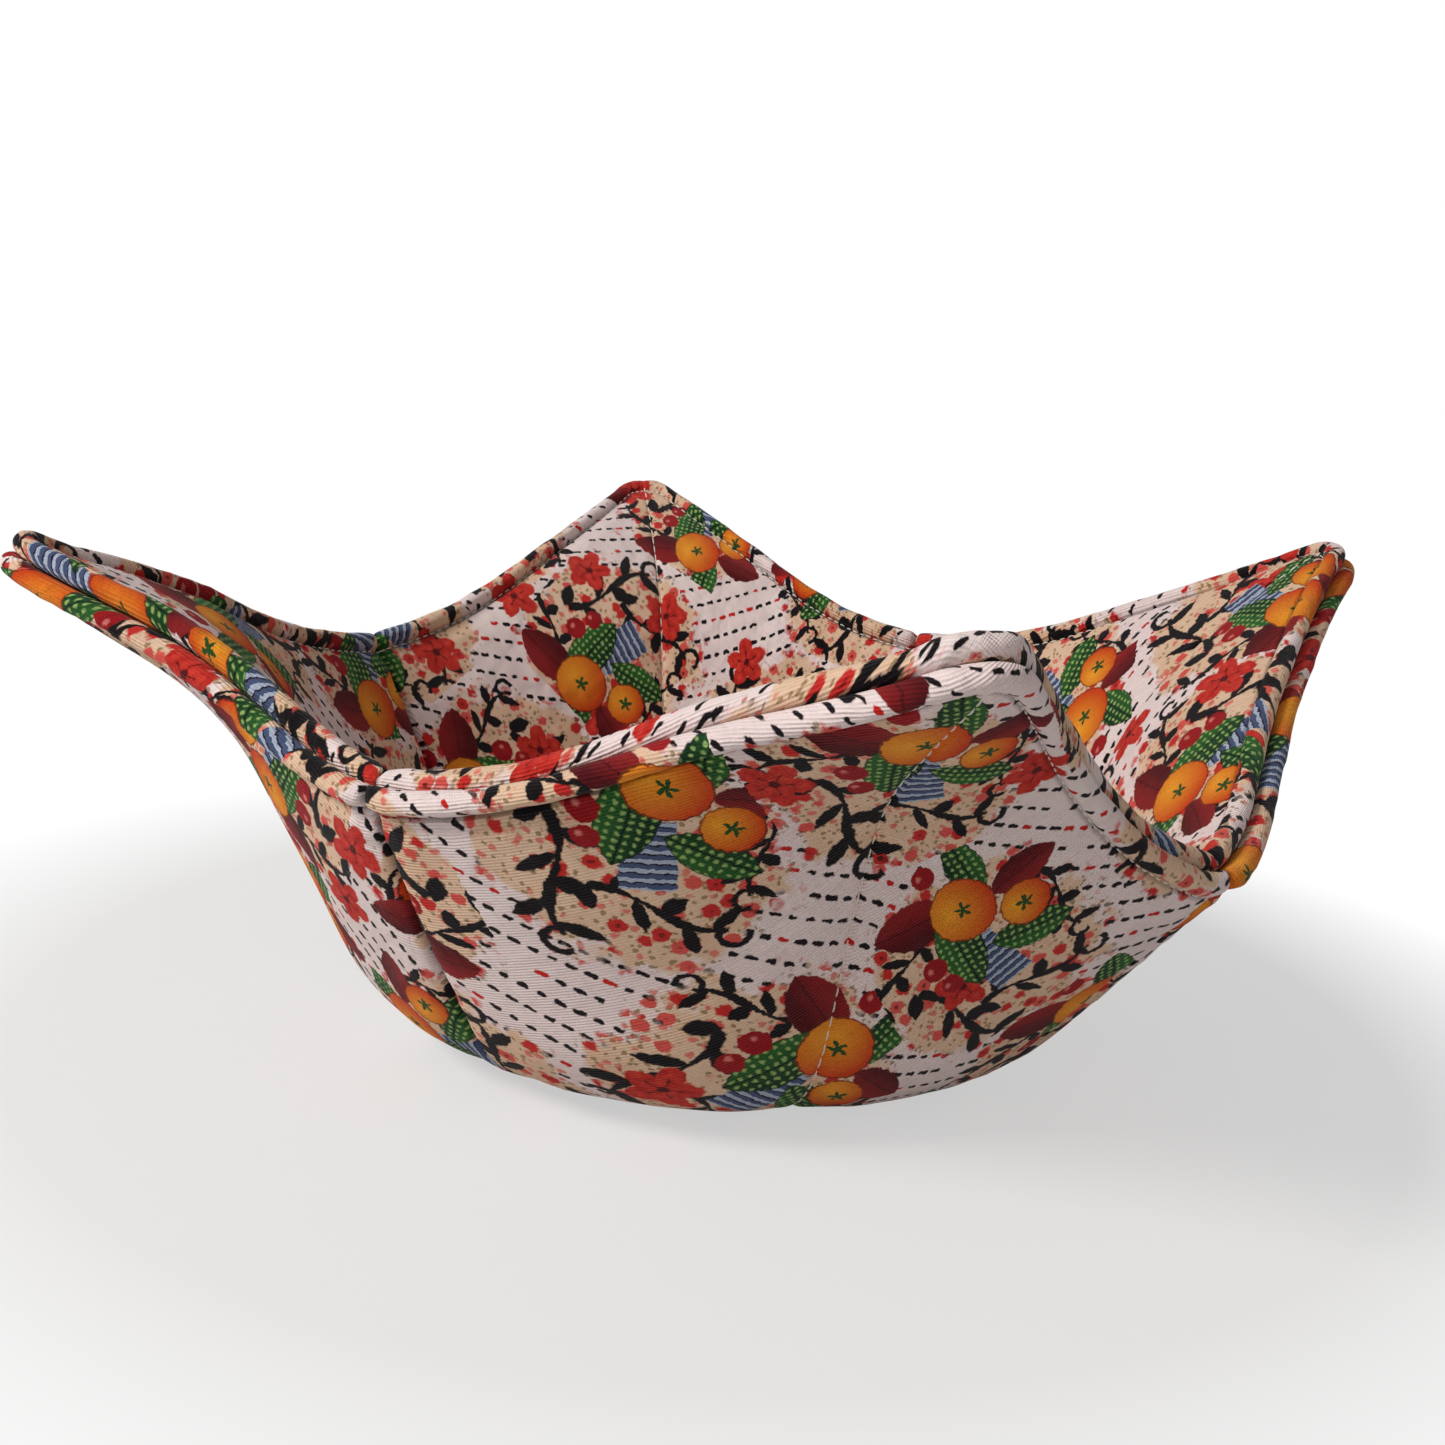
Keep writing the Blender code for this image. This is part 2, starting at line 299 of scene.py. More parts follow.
def face_height(eighth, v, radius, side):
    s, local = pattern_point(v, radius)
    depth = HALF_SIDE - radius
    way = corner_share(local)
    rim_way = (np.where(eighth % 2 == 1, 1.0 - way, way) + eighth) * EIGHTH_LENGTH
    phase = 1.7 * eighth + 2.3 * (side < 0)
    wall = ease((s - BASE_RADIUS) / WALL_RAMP)
    # Panels crown between the seams and the quilting
    below = ease((depth - STITCH_DEPTH) / CROWN_RAMP)
    height = FACE + PANEL_CROWN * wall * below * np.sin(math.pi * way) ** CROWN_POWER
    height += rim_relief(depth, stitch_pull(eighth, way), rim_way, side)
    height += dart_relief(s, s * np.sin(local), phase)
    quilt_phase = 1.3 * (eighth // 2) + (side < 0)
    height += quilt_relief(s, s * np.sin(EIGHTH_TURN - local), depth, wall, quilt_phase)
    # Fine unevenness of quilted cotton
    height += UNEVEN * wall * np.sin(s * 0.21 + 5.0 * np.sin(rim_way * 0.031 + phase))
    if side < 0:
        return height
    # The underside of the base rests flat
    rest = 1.0 - ease((s - BASE_RADIUS + REST_INSIDE) / REST_RAMP)
    return height * (1.0 - rest) + np.minimum(height, FACE) * rest


def crease_shade(eighth, v, radius):
    # How deep in a sewn fold or a dart's seam a point lies, where little light comes in; the cloth's
    # colour is darkened by this as painted shade
    s, local = pattern_point(v, radius)
    held = stitch_pull(eighth, corner_share(local))
    fold = held * bump(HALF_SIDE - radius - STITCH_DEPTH - CREASE_BELOW, CREASE_WIDTH)
    sewn = ease((s - DART_TIP) / SEAM_RAMP)
    return np.maximum(fold, SEAM_SHADE * sewn * bump(s * np.sin(local), CREASE_WIDTH))


# The mesh of one half: a closed shell over the face, round the roll and back inside

def columns():
    # Shares from seam to corner, fine beside the seam and beside the quilting
    edge = np.array(FINE)
    middle = np.linspace(FINE[-1], EIGHTH_LENGTH - FINE[-1], MIDDLE_COLUMNS)[1:-1]
    return np.concatenate([edge, middle, EIGHTH_LENGTH - edge[::-1]]) / EIGHTH_LENGTH


def round_columns():
    # Eighth and share of every column round the bowl
    shares = columns()
    runs = [shares[:-1] if eighth % 2 == 0 else shares[::-1][:-1] for eighth in range(8)]
    return np.repeat(np.arange(8), len(shares) - 1), np.concatenate(runs)


def section_rows(eighths, values, side):
    # Radius, offset from the mid surface and distance along the cloth of each row
    rows = []
    fine_start = HALF_SIDE - STITCH_DEPTH - FINE_ROWS_BELOW
    flats = list(np.linspace(CENTRE_RADIUS, BASE_RADIUS, BASE_ROWS))
    flats += list(np.linspace(BASE_RADIUS, ZONE_START, WALL_ROWS)[1:])
    flats += list(np.linspace(ZONE_START, fine_start, ZONE_ROWS)[1:])
    flats += list(np.linspace(fine_start, HALF_SIDE - ROLL, STITCH_ROWS)[1:])
    for radius in flats:
        radii = np.full(len(values), radius)
        rows.append((radii, face_height(eighths, values, radii, side), radii))
    top = rows[-1][1]
    s, local = pattern_point(values, np.full(len(values), HALF_SIDE - ROLL))
    # The roll is a little uneven, and drawn in where a dart ends in it
    uneven = 1.0 + ROLL_UNEVEN * ripple(values * EIGHTH_LENGTH * 0.35, 1.3 * side)
    pinched = 1.0 - ROLL_PINCH * bump(s * np.sin(local), ROLL_PINCH_WIDTH)
    reach = ROLL * uneven * pinched
    half = (top - HALF_GAP) / 2.0
    for angle in np.radians(np.linspace(90.0, -90.0, ROLL_ROWS)[1:]):
        radii = HALF_SIDE - ROLL + reach * math.cos(angle)
        offset = HALF_GAP + half + half * math.sin(angle)
        along = HALF_SIDE - ROLL + ROLL * (QUARTER_TURN - angle)
        rows.append((radii, offset, np.full(len(values), along)))
    for radius in np.linspace(HALF_SIDE - ROLL, BASE_RADIUS, BACK_ROWS)[1:]:
        radii = np.full(len(values), radius)
        rows.append((radii, np.full(len(values), HALF_GAP), radii))
    return rows


def shell_faces(row_count, count, first, last):
    # Four-sided faces between the rows, and a fan round the centre point of each face
    rings = [
        (j * count + i, j * count + (i + 1) % count,
         (j + 1) * count + (i + 1) % count, (j + 1) * count + i)
        for j in range(row_count - 1) for i in range(count)
    ]
    end = (row_count - 1) * count
    fans = []
    for i in range(count):
        k = (i + 1) % count
        fans.append((first, k, i))
        fans.append((last, end + i, end + k))
    return rings + fans


def cloth_coordinates(eighth, share, radius, along):
    # Place on the flat square of printed cotton, with the darts' wedges left out
    s, local = pattern_point(share, radius)
    s = s + np.maximum(along - radius, 0.0)
    width = DART_HALF_WIDTH * np.clip((s - DART_TIP) / (HALF_SIDE - DART_TIP), 0.0, 1.2)
    wedge = np.arctan2(width, np.maximum(s, 1.0))
    angle = EIGHTH_TURN - (EIGHTH_TURN - local) * (1.0 - wedge / EIGHTH_TURN)
    angle = pattern_direction(np.full(len(share), eighth), angle)
    return s * np.cos(angle), s * np.sin(angle)


def lay_print(mesh, rows, count, first):
    # Each side of a seam has its own coordinates, so the print breaks off there
    per = len(columns()) - 1
    tables = []
    for eighth in range(8):
        index = [(eighth * per + i) % count for i in range(per + 1)]
        share = columns() if eighth % 2 == 0 else columns()[::-1]
        table = np.zeros((len(rows), count, 2))
        for j, (radii, offset, along) in enumerate(rows):
            table[j, index] = np.stack(
                cloth_coordinates(eighth, share, radii[index], along[index]), axis=1)
        tables.append(table)
    places = np.zeros((len(mesh.loops), 2))
    for face in mesh.polygons:
        ids = list(face.vertices)
        ring = [i % count for i in ids if i < first]
        low = min(ring) if max(ring) - min(ring) <= 1 else count - 1
        for loop, vert in zip(face.loop_indices, ids):
            if vert < first:
                places[loop] = tables[low // per][vert // count, vert % count]
    mesh.uv_layers.new(name="cloth").data.foreach_set("uv", (places / UV_UNIT).ravel())


def smooth_object(name, mesh):
    for face in mesh.polygons:
        face.use_smooth = True
    obj = bpy.data.objects.new(name, mesh)
    bpy.context.scene.collection.objects.link(obj)
    return obj


def half_mesh(name, side):
    eighths, values = round_columns()
    count = len(values)
    rows = section_rows(eighths, values, side)
    points = [place(eighths, values, radii, side * offset) for radii, offset, along in rows]
    seam, zero = np.array([0]), np.array([0.0])
    for offset in (face_height(seam, zero, zero, side), np.array([HALF_GAP])):
        points.append(place(seam, zero, zero, side * offset))
    first, last = len(rows) * count, len(rows) * count + 1
    faces = shell_faces(len(rows), count, first, last)
    if side < 0:
        faces = [face[::-1] for face in faces]
    mesh = bpy.data.meshes.new(name)
    mesh.from_pydata([tuple(p) for p in np.concatenate(points)], [], faces)
    mesh.update()
    # Painted shade of the sewn folds and dart seams, kept on the mesh as its crease attribute
    shade = [crease_shade(eighths, values, radii) for radii, offset, along in rows]
    shade = np.concatenate(shade + [np.zeros(2)])
    mesh.attributes.new("crease", "FLOAT", "POINT").data.foreach_set("value", shade)
    lay_print(mesh, rows, count, first)
    return smooth_object(name, mesh)


# Stitches, each a short capsule of thread that dips into the cloth at both ends

def stitch_mesh(name, stitches):
    sections = np.linspace(-0.5, 0.5, THREAD_SECTIONS)
    arch = np.cos(sections * math.pi)
    lifts = STITCH_RISE * arch ** 0.7 - STITCH_DIP
    swells = THREAD_END_SHARE + (1.0 - THREAD_END_SHARE) * arch ** 0.5
    verts, faces = [], []
    for centre, run, normal in stitches:
        across = np.cross(run, normal)
        across /= np.linalg.norm(across)
        base = len(verts)
        for part, lift, swell in zip(sections, lifts, swells):
            middle = centre + run * part + normal * lift * MM
            for angle in np.arange(THREAD_SIDES) * FULL_TURN / THREAD_SIDES:
                spoke = across * math.cos(angle) + normal * math.sin(angle)
                verts.append(tuple(middle + spoke * THREAD_RADIUS * swell * MM))
        ring = list(range(THREAD_SIDES))
        for j in range(THREAD_SECTIONS - 1):
            start = base + j * THREAD_SIDES
            for k in ring:
                a, b = start + k, start + (k + 1) % THREAD_SIDES
                faces.append((a, b, b + THREAD_SIDES, a + THREAD_SIDES))
        end = base + (THREAD_SECTIONS - 1) * THREAD_SIDES
        faces.append(tuple(base + k for k in ring[::-1]))
        faces.append(tuple(end + k for k in ring))
    mesh = bpy.data.meshes.new(name)
    mesh.from_pydata(verts, [], faces)
    mesh.update()
    return smooth_object(name, mesh)


def stitches_on(eighth, v, radius, step_v, step_radius, side):
    # Centre, run and outward direction of stitches at places on a half's face
    def surface(share, at, lift=0.0):
        return place(eighth, share, at, side * (face_height(eighth, share, at, side) + lift))

    centre = surface(v, radius)
    run = surface(v + step_v, radius + step_radius) - surface(v - step_v, radius - step_radius)
    normal = surface(v, radius, 0.5) - centre
    normal /= np.linalg.norm(normal, axis=1)[:, None]
    return list(zip(centre, run, normal))


def topstitching(side):
    found = []
    count = int(round(EIGHTH_LENGTH / STITCH_PITCH))
    shares = (np.arange(count) + 0.5) / count
    step = np.full(count, 0.5 * STITCH_LENGTH / EIGHTH_LENGTH)
    for eighth in range(8):
        radius = HALF_SIDE - STITCH_DEPTH + STITCH_WANDER * ripple(shares * 60.0, eighth)
        found += stitches_on(np.full(count, eighth), shares, radius, step, 0.0, side)
    return found


def quilting(side):
    found = []
    grid = np.linspace(0.0, HALF_SIDE - QUILT_END, 400)
    way = pattern_point(np.ones(len(grid)), grid)[0]
    count = int(way[-1] / QUILT_PITCH)
    at = (np.arange(count) + 0.5) * way[-1] / count
    at = at[at > QUILT_START]
    radius = np.interp(at, way, grid)
    step = np.maximum(np.interp(at + 0.5 * QUILT_STITCH_LENGTH, way, grid) - radius, 0.3)
    for eighth in (0, 2, 4, 6):
        corner = np.ones(len(at))
        found += stitches_on(np.full(len(at), eighth), corner, radius, 0.0, step, side)
    return found


# Node shorthand: a Field is one number that varies over the surface

class Field:
    def __init__(self, tree, socket):
        self.tree = tree
        self.socket = socket

    def op(self, kind, other=None):
        node = self.tree.nodes.new("ShaderNodeMath")
        node.operation = kind
        self.tree.links.new(self.socket, node.inputs[0])
        if isinstance(other, Field):
            self.tree.links.new(other.socket, node.inputs[1])
        elif other is not None:
            node.inputs[1].default_value = other
        return Field(self.tree, node.outputs[0])

    def __add__(self, other):
        return self.op("ADD", other)

    def __sub__(self, other):
        return self.op("SUBTRACT", other)

    def __rsub__(self, value):
        return self * -1.0 + value

    def __mul__(self, other):
        return self.op("MULTIPLY", other)

    def __truediv__(self, other):
        return self.op("DIVIDE", other)

    def floor(self):
        return self.op("FLOOR")

    def size(self):
        return self.op("ABSOLUTE")

    def sin(self):
        return self.op("SINE")

    def cos(self):
        return self.op("COSINE")

    def root(self):
        return self.op("SQRT")

    def least(self, other):
        return self.op("MINIMUM", other)

    def most(self, other):
        return self.op("MAXIMUM", other)

    def above(self, value):
        return self.op("GREATER_THAN", value)

    def below(self, value):
        return self.op("LESS_THAN", value)

    def within(self):
        node = self.tree.nodes.new("ShaderNodeClamp")
        self.tree.links.new(self.socket, node.inputs[0])
        return Field(self.tree, node.outputs[0])


class Paint:
    def __init__(self, tree):
        self.tree = tree

    def link(self, value, socket):
        if isinstance(value, Field):
            self.tree.links.new(value.socket, socket)
        elif hasattr(value, "is_output"):
            self.tree.links.new(value, socket)
        else:
            socket.default_value = value

    def vector(self, x, y, z=0.0):
        node = self.tree.nodes.new("ShaderNodeCombineXYZ")
        for value, socket in zip((x, y, z), node.inputs):
            self.link(value, socket)
        return node.outputs[0]

    def parts(self, socket, kind):
        # The three numbers of a colour or a vector
        node = self.tree.nodes.new(kind)
        self.tree.links.new(socket, node.inputs[0])
        return [Field(self.tree, part) for part in node.outputs[:3]]

    def noise(self, x, y, scale, detail=2.0, z=0.0):
        node = self.tree.nodes.new("ShaderNodeTexNoise")
        self.link(self.vector(x, y, z), node.inputs["Vector"])
        node.inputs["Scale"].default_value = scale
        node.inputs["Detail"].default_value = detail
        return Field(self.tree, node.outputs["Fac"])

    def chance(self, x, y, seed):
        # Three random numbers for a cell
        node = self.tree.nodes.new("ShaderNodeTexWhiteNoise")
        self.link(self.vector(x, y, seed), node.inputs["Vector"])
        return self.parts(node.outputs["Color"], "ShaderNodeSeparateColor")

    def cells(self, x, y, scale, seed):
        # Distance to the nearest of scattered spots, and a random number for that spot
        node = self.tree.nodes.new("ShaderNodeTexVoronoi")
        self.link(self.vector(x, y, seed), node.inputs["Vector"])
        node.inputs["Scale"].default_value = scale
        node.inputs["Randomness"].default_value = 0.85
        spot = self.parts(node.outputs["Color"], "ShaderNodeSeparateColor")[0]
        return Field(self.tree, node.outputs["Distance"]), spot

    def mix(self, share, low, high):
        node = self.tree.nodes.new("ShaderNodeMix")
        node.data_type = "RGBA"
        self.link(share, node.inputs[0])
        self.link(low, node.inputs[6])
        self.link(high, node.inputs[7])
        return node.outputs[2]

    def bump(self, height, strength, distance, below=None):
        node = self.tree.nodes.new("ShaderNodeBump")
        node.inputs["Strength"].default_value = strength
        node.inputs["Distance"].default_value = distance
        self.tree.links.new(height.socket, node.inputs["Height"])
        if below:
            self.tree.links.new(below, node.inputs["Normal"])
        return node.outputs[0]


def hue(red, green, blue):
    # Linear colour of an 8-bit one
    return tuple((c / 255.0) ** 2.2 for c in (red, green, blue)) + (1.0,)


def turned(x, y, degrees):
    c, s = math.cos(math.radians(degrees)), math.sin(math.radians(degrees))
    return x * c + y * s, y * c - x * s


def ink(distance, soft=0.22):
    # 1 inside a shape whose signed distance is in millimetres, 0 outside
    return (0.5 - distance / soft).within()


def disc(x, y, radius):
    return (x * x + y * y).root() - radius


def leaf(x, y, length, width):
    # Pointed oval along x
    big = (length * length + width * width) / (2.0 * width)
    lift = big - width
    return disc(x, y + lift, 0.0).most(disc(x, y - lift, 0.0)) - big


def cell(value, pitch):
    # Number of the cell that a value falls in, and the distance from its middle
    number = (value / pitch).floor()
    return number, value - (number + 0.5) * pitch


def scatter(paint, x, y, pitch, seed, jitter, tilt):
    # Own coordinates of a motif repeated over the cloth, each shifted and turned by
    # chance, and a random number for it
    x, y = turned(x, y, tilt)
    col, off_col = cell(x, pitch)
    row, off_row = cell(y, pitch)
    first, second, third = paint.chance(col, row, seed)
    own_x = off_col - (first - 0.5) * (jitter * pitch)
    own_y = off_row - (second - 0.5) * (jitter * pitch)
    angle = third * FULL_TURN
    c, s = angle.cos(), angle.sin()
    keep = paint.chance(col, row, seed + 7.3)[0]
    return own_x * c + own_y * s, own_y * c - own_x * s, keep


# Colours of the print, the darker of a pair first
GROUND = (hue(230, 208, 207), hue(242, 226, 223))
TAN = (hue(216, 174, 142), hue(234, 204, 178))
OLIVE = hue(128, 102, 56)
BUD = hue(216, 106, 94)
TINY_FLOWER = (hue(196, 48, 44), hue(214, 86, 78))
TINY_HEART = hue(112, 22, 28)
DASH = (hue(24, 16, 20), hue(196, 38, 34))
SPRIG = hue(20, 14, 18)
CORAL = (hue(172, 30, 28), hue(224, 72, 58))
CORAL_HEART = hue(84, 14, 20)
RIBBON = (hue(72, 84, 116), hue(168, 178, 198))
RIBBON_LINE = hue(40, 36, 52)
MAROON = (hue(80, 17, 23), hue(134, 34, 36))
MAROON_RIB = hue(52, 10, 16)
GREEN = (hue(16, 52, 28), hue(44, 92, 42))
GREEN_DOT = hue(160, 190, 112)
GREEN_RIB = hue(16, 38, 22)
GREEN_EDGE = hue(20, 26, 22)
PEEL = (hue(244, 164, 48), hue(204, 66, 24))
PEEL_PORE = hue(168, 52, 22)
PEEL_STAR = hue(40, 76, 36)
PEEL_EDGE = hue(80, 28, 20)
BERRY = (hue(150, 26, 32), hue(230, 130, 120))
THREAD = (hue(226, 214, 200), hue(250, 244, 236))

# The print's layout, millimetres and degrees. Each repeat is one cream patch with its
# sprigs and its bunch of fruit; a bunch's own places are before its scale.
REPEAT = 48.0
PATCH_RADIUS = 23.5
PATCH_ROUGH = 20.0
DASH_ANGLE = -38.0
DASH_ROW = 4.3
DASH_PITCH = 2.85
FLOWER_REPEAT = 27.0
FLOWER_SHARE = 0.6
# Place, angle and scale
SPRIGS = (
    (3.0, 12.5, 4.0, 1.0),
    (12.0, 0.5, -58.0, 0.85),
    (-15.5, 8.0, 80.0, 0.75),
    (6.0, -17.0, 22.0, 0.7),
)
SPRIG_HALF_LENGTH = 12.5
SPRIG_LEAF_PITCH = 4.6
BUNCH_PLACE = (-7.0, -8.0)
BUNCH_SCALE = 0.64
# Place, angle, half length and half width
RIBBON_SHAPE = (13.0, 10.0, 18.0, 10.6, 6.4)
RIBBON_STRIPE = 2.9
MAROON_LEAVES = ((-17.0, 10.0, 128.0, 13.5, 7.4), (3.0, -19.5, -68.0, 11.0, 5.8))
GREEN_LEAVES = (
    (1.0, 10.5, 32.0, 15.5, 7.2),
    (17.5, -3.5, -42.0, 12.5, 6.0),
    (-14.0, -13.0, 205.0, 12.5, 5.8),
)
LEAF_DOT_PITCH = 2.3
# Place and radius
ORANGES = ((10.5, -10.5, 7.6), (-6.0, -1.0, 10.5))
BERRIES = ((-3.0, 19.5, 4.0), (5.0, 21.5, 3.4), (-23.0, -3.5, 3.8))

# Width of the soft edge of large shapes and of fine lines, millimetres
SHAPE_EDGE = 0.35
LINE_EDGE = 0.3

# Threads of the weave, and the twist of the sewing thread
RIB_PITCH = 0.56
CROSS_PITCH = 0.42
TWIST_PITCH = 0.42


def tiny_flowers(paint, x, y, colour, fray, edge):
    # Olive specks, coral buds and small red flowers with dark hearts
    def spots(distance, least, sharp, seen):
        return (1.0 - (distance - least) * sharp).within() * seen * edge

    speck, chance = paint.cells(x, y, 0.72, 5.0)
    specks = spots(speck + fray, 0.24, 9.0, chance.above(0.25))
    colour = paint.mix(specks * 0.75, colour, OLIVE)
    bud, chance = paint.cells(x, y, 0.44, 9.0)
    buds = spots(bud + fray * 0.6, 0.26, 9.0, chance.above(0.3))
    colour = paint.mix(buds * 0.85, colour, BUD)
    flower, chance = paint.cells(x, y, 0.235, 1.0)
    petals = spots(flower + fray * 0.45, 0.30, 14.0, chance.above(0.12))
    colour = paint.mix(petals, colour, paint.mix(chance.above(0.5), *TINY_FLOWER))
    hearts = spots(flower, 0.07, 16.0, chance.above(0.12))
    return paint.mix(hearts * 0.85, colour, TINY_HEART)


def running_dashes(paint, x, y, colour, bare):
    # Rows of short dashes, black with a red one here and there
    dash_x, dash_y = turned(x, y, DASH_ANGLE)
    row, off_row = cell(dash_y, DASH_ROW)
    lead, wide = paint.chance(row, 0.0, 11.0)[:2]
    number, off_dash = cell(dash_x + lead * 2.8, DASH_PITCH)
    tint, skip, length = paint.chance(number, row, 19.0)
    reach = (off_dash.size() - 0.28 - length * 0.4).most(0.0)
    mark = ink(disc(reach, off_row, 0.40) - wide * 0.12)
    return paint.mix(mark * skip.above(0.05) * bare, colour, paint.mix(tint.above(0.86), *DASH))


def sprig(paint, x, y, colour):
    # A brushed black stem that sways, with leaves to both sides and a curl at its end
    sway = (x / 5.2).sin() * 2.4
    ends = x.size() - SPRIG_HALF_LENGTH
    stem = ((y - sway).size() - 0.78 - (x / 2.3).sin() * 0.35).most(ends)
    number, off_leaf = cell(x, SPRIG_LEAF_PITCH)
    up = (number / 2.0 - (number / 2.0).floor()).above(0.25) * 2.0 - 1.0
    leaf_x, leaf_y = turned(off_leaf, (y - sway) * up - 2.9, 58.0)
    leaves = leaf(leaf_x, leaf_y, 3.4, 1.5).most(ends - 1.0)
    curl = (disc(x - 13.6, y - 2.4, 2.6).size() - 0.65).most(1.1 - y)
    return paint.mix(ink(stem.least(leaves).least(curl), LINE_EDGE), colour, SPRIG)


def coral_flowers(paint, x, y, colour, rough, fray):
    own_x, own_y, keep = scatter(paint, x, y, FLOWER_REPEAT, 31.0, 0.5, 5.0)
    live = keep.below(FLOWER_SHARE)
    petal_angle = own_y.op("ARCTAN2", own_x) * 2.5
    edge = disc(own_x, own_y, 3.4) - petal_angle.sin().size() * 2.6 + (rough - 0.5) * 2.0 + fray
    vein = (paint.noise(own_x, own_y, 0.6, 3.0) - 0.3) * 1.9
    colour = paint.mix(ink(edge, 0.4) * live, colour, paint.mix(vein.within(), *CORAL))
    streak = petal_angle.cos().size().below(0.2) * disc(own_x, own_y, 3.0).below(0.0)
    heart = ink(disc(own_x, own_y, 0.9), 0.4).most(streak * 0.8) * live
    return paint.mix(heart, colour, CORAL_HEART)


def ribbon(paint, x, y, colour):
    at_x, at_y, angle, length, width = RIBBON_SHAPE
    x, y = turned(x - at_x, y - at_y, angle)
    edge = (x.size() - length).most(y.size() - width)
    stripe = x / RIBBON_STRIPE - (x / RIBBON_STRIPE).floor()
    band = paint.mix(stripe.above(0.84), paint.mix(stripe.above(0.45), *RIBBON), RIBBON_LINE)
    return paint.mix(ink(edge, SHAPE_EDGE), colour, band)


def maroon_leaf(paint, x, y, length, width, colour, fray):
    blade = paint.mix((y * 0.12 + 0.5).within(), *MAROON)
    blade = paint.mix(ink(y.size() - 0.3, LINE_EDGE) * 0.6, blade, MAROON_RIB)
    return paint.mix(ink(leaf(x, y, length, width) + fray, SHAPE_EDGE), colour, blade)


def green_leaf(paint, x, y, length, width, colour):
    edge = leaf(x, y, length, width)
    dots = ink(disc(cell(x, LEAF_DOT_PITCH)[1], cell(y, LEAF_DOT_PITCH)[1], 0.55), 0.5)
    blade = paint.mix((y * 0.12 + 0.5).within(), *GREEN)
    blade = paint.mix(dots * 0.85, blade, GREEN_DOT)
    blade = paint.mix(ink(y.size() - 0.3, LINE_EDGE), blade, GREEN_RIB)
    colour = paint.mix(ink(edge, SHAPE_EDGE), colour, blade)
    return paint.mix(ink((edge + 0.1).size() - 0.2, LINE_EDGE) * 0.75, colour, GREEN_EDGE)


def orange(paint, x, y, radius, colour):
    edge = disc(x, y, radius)
    light = disc(x + radius * 0.3, y - radius * 0.35, 0.0) / (radius * 1.35)
    pores = (paint.noise(x, y, 1.6, 1.0) - 0.45).within() * 0.9
    peel = paint.mix(pores, paint.mix(light.within(), *PEEL), PEEL_PORE)
    colour = paint.mix(ink(edge, SHAPE_EDGE), colour, peel)
    star = disc(x, y, 0.0) - (y.op("ARCTAN2", x) * 5.0).cos() - 1.8
    colour = paint.mix(ink(star, 0.4), colour, PEEL_STAR)
    return paint.mix(ink((edge + 0.15).size() - 0.24, LINE_EDGE) * 0.8, colour, PEEL_EDGE)


def berry(paint, x, y, radius, colour):
    shine = ink(disc(x + 1.1, y - 1.1, 0.8), 0.8) * 0.8
    return paint.mix(ink(disc(x, y, radius), SHAPE_EDGE), colour, paint.mix(shine, *BERRY))


def bunch(paint, x, y, colour, fray):
    # Oranges and berries with dotted green leaves, maroon leaves and a striped ribbon
    colour = ribbon(paint, x, y, colour)
    for at_x, at_y, angle, length, width in MAROON_LEAVES:
        leaf_x, leaf_y = turned(x - at_x, y - at_y, angle)
        colour = maroon_leaf(paint, leaf_x, leaf_y, length, width, colour, fray)
    for at_x, at_y, angle, length, width in GREEN_LEAVES:
        leaf_x, leaf_y = turned(x - at_x, y - at_y, angle)
        colour = green_leaf(paint, leaf_x, leaf_y, length, width, colour)
    for at_x, at_y, radius in ORANGES:
        colour = orange(paint, x - at_x, y - at_y, radius, colour)
    for at_x, at_y, radius in BERRIES:
        colour = berry(paint, x - at_x, y - at_y, radius, colour)
    return colour


def print_colour(paint, x, y):
    colour = paint.mix(paint.noise(x, y, 0.05), *GROUND)
    own_x, own_y, _ = scatter(paint, x, y, REPEAT, 3.0, 0.16, 9.0)
    rough = paint.noise(x, y, 0.14, 3.0)
    fray = (paint.noise(x, y, 1.1) - 0.5) * 0.5
    patch_edge = disc(own_x, own_y * 1.12, PATCH_RADIUS) + (rough - 0.5) * PATCH_ROUGH
    patch = ink(patch_edge, 2.2)
    colour = paint.mix(patch, colour, paint.mix(paint.noise(x, y, 0.13, 3.0), *TAN))
    colour = tiny_flowers(paint, x, y, colour, fray, ink(patch_edge - 2.0, 2.0))
    colour = running_dashes(paint, x, y, colour, 1.0 - patch)
    for at_x, at_y, angle, scale in SPRIGS:
        sprig_x, sprig_y = turned(own_x - at_x, own_y - at_y, angle)
        colour = sprig(paint, sprig_x / scale, sprig_y / scale, colour)
    colour = coral_flowers(paint, x, y, colour, rough, fray)
    at_x, at_y = BUNCH_PLACE
    bunch_x, bunch_y = (own_x - at_x) / BUNCH_SCALE, (own_y - at_y) / BUNCH_SCALE
    return bunch(paint, bunch_x, bunch_y, colour, fray)


def new_material(name, roughness, sheen):
    mat = bpy.data.materials.new(name)
    mat.use_nodes = True
    shader = mat.node_tree.nodes["Principled BSDF"]
    shader.inputs["Roughness"].default_value = roughness
    shader.inputs["Sheen Weight"].default_value = sheen
    return mat, mat.node_tree, shader


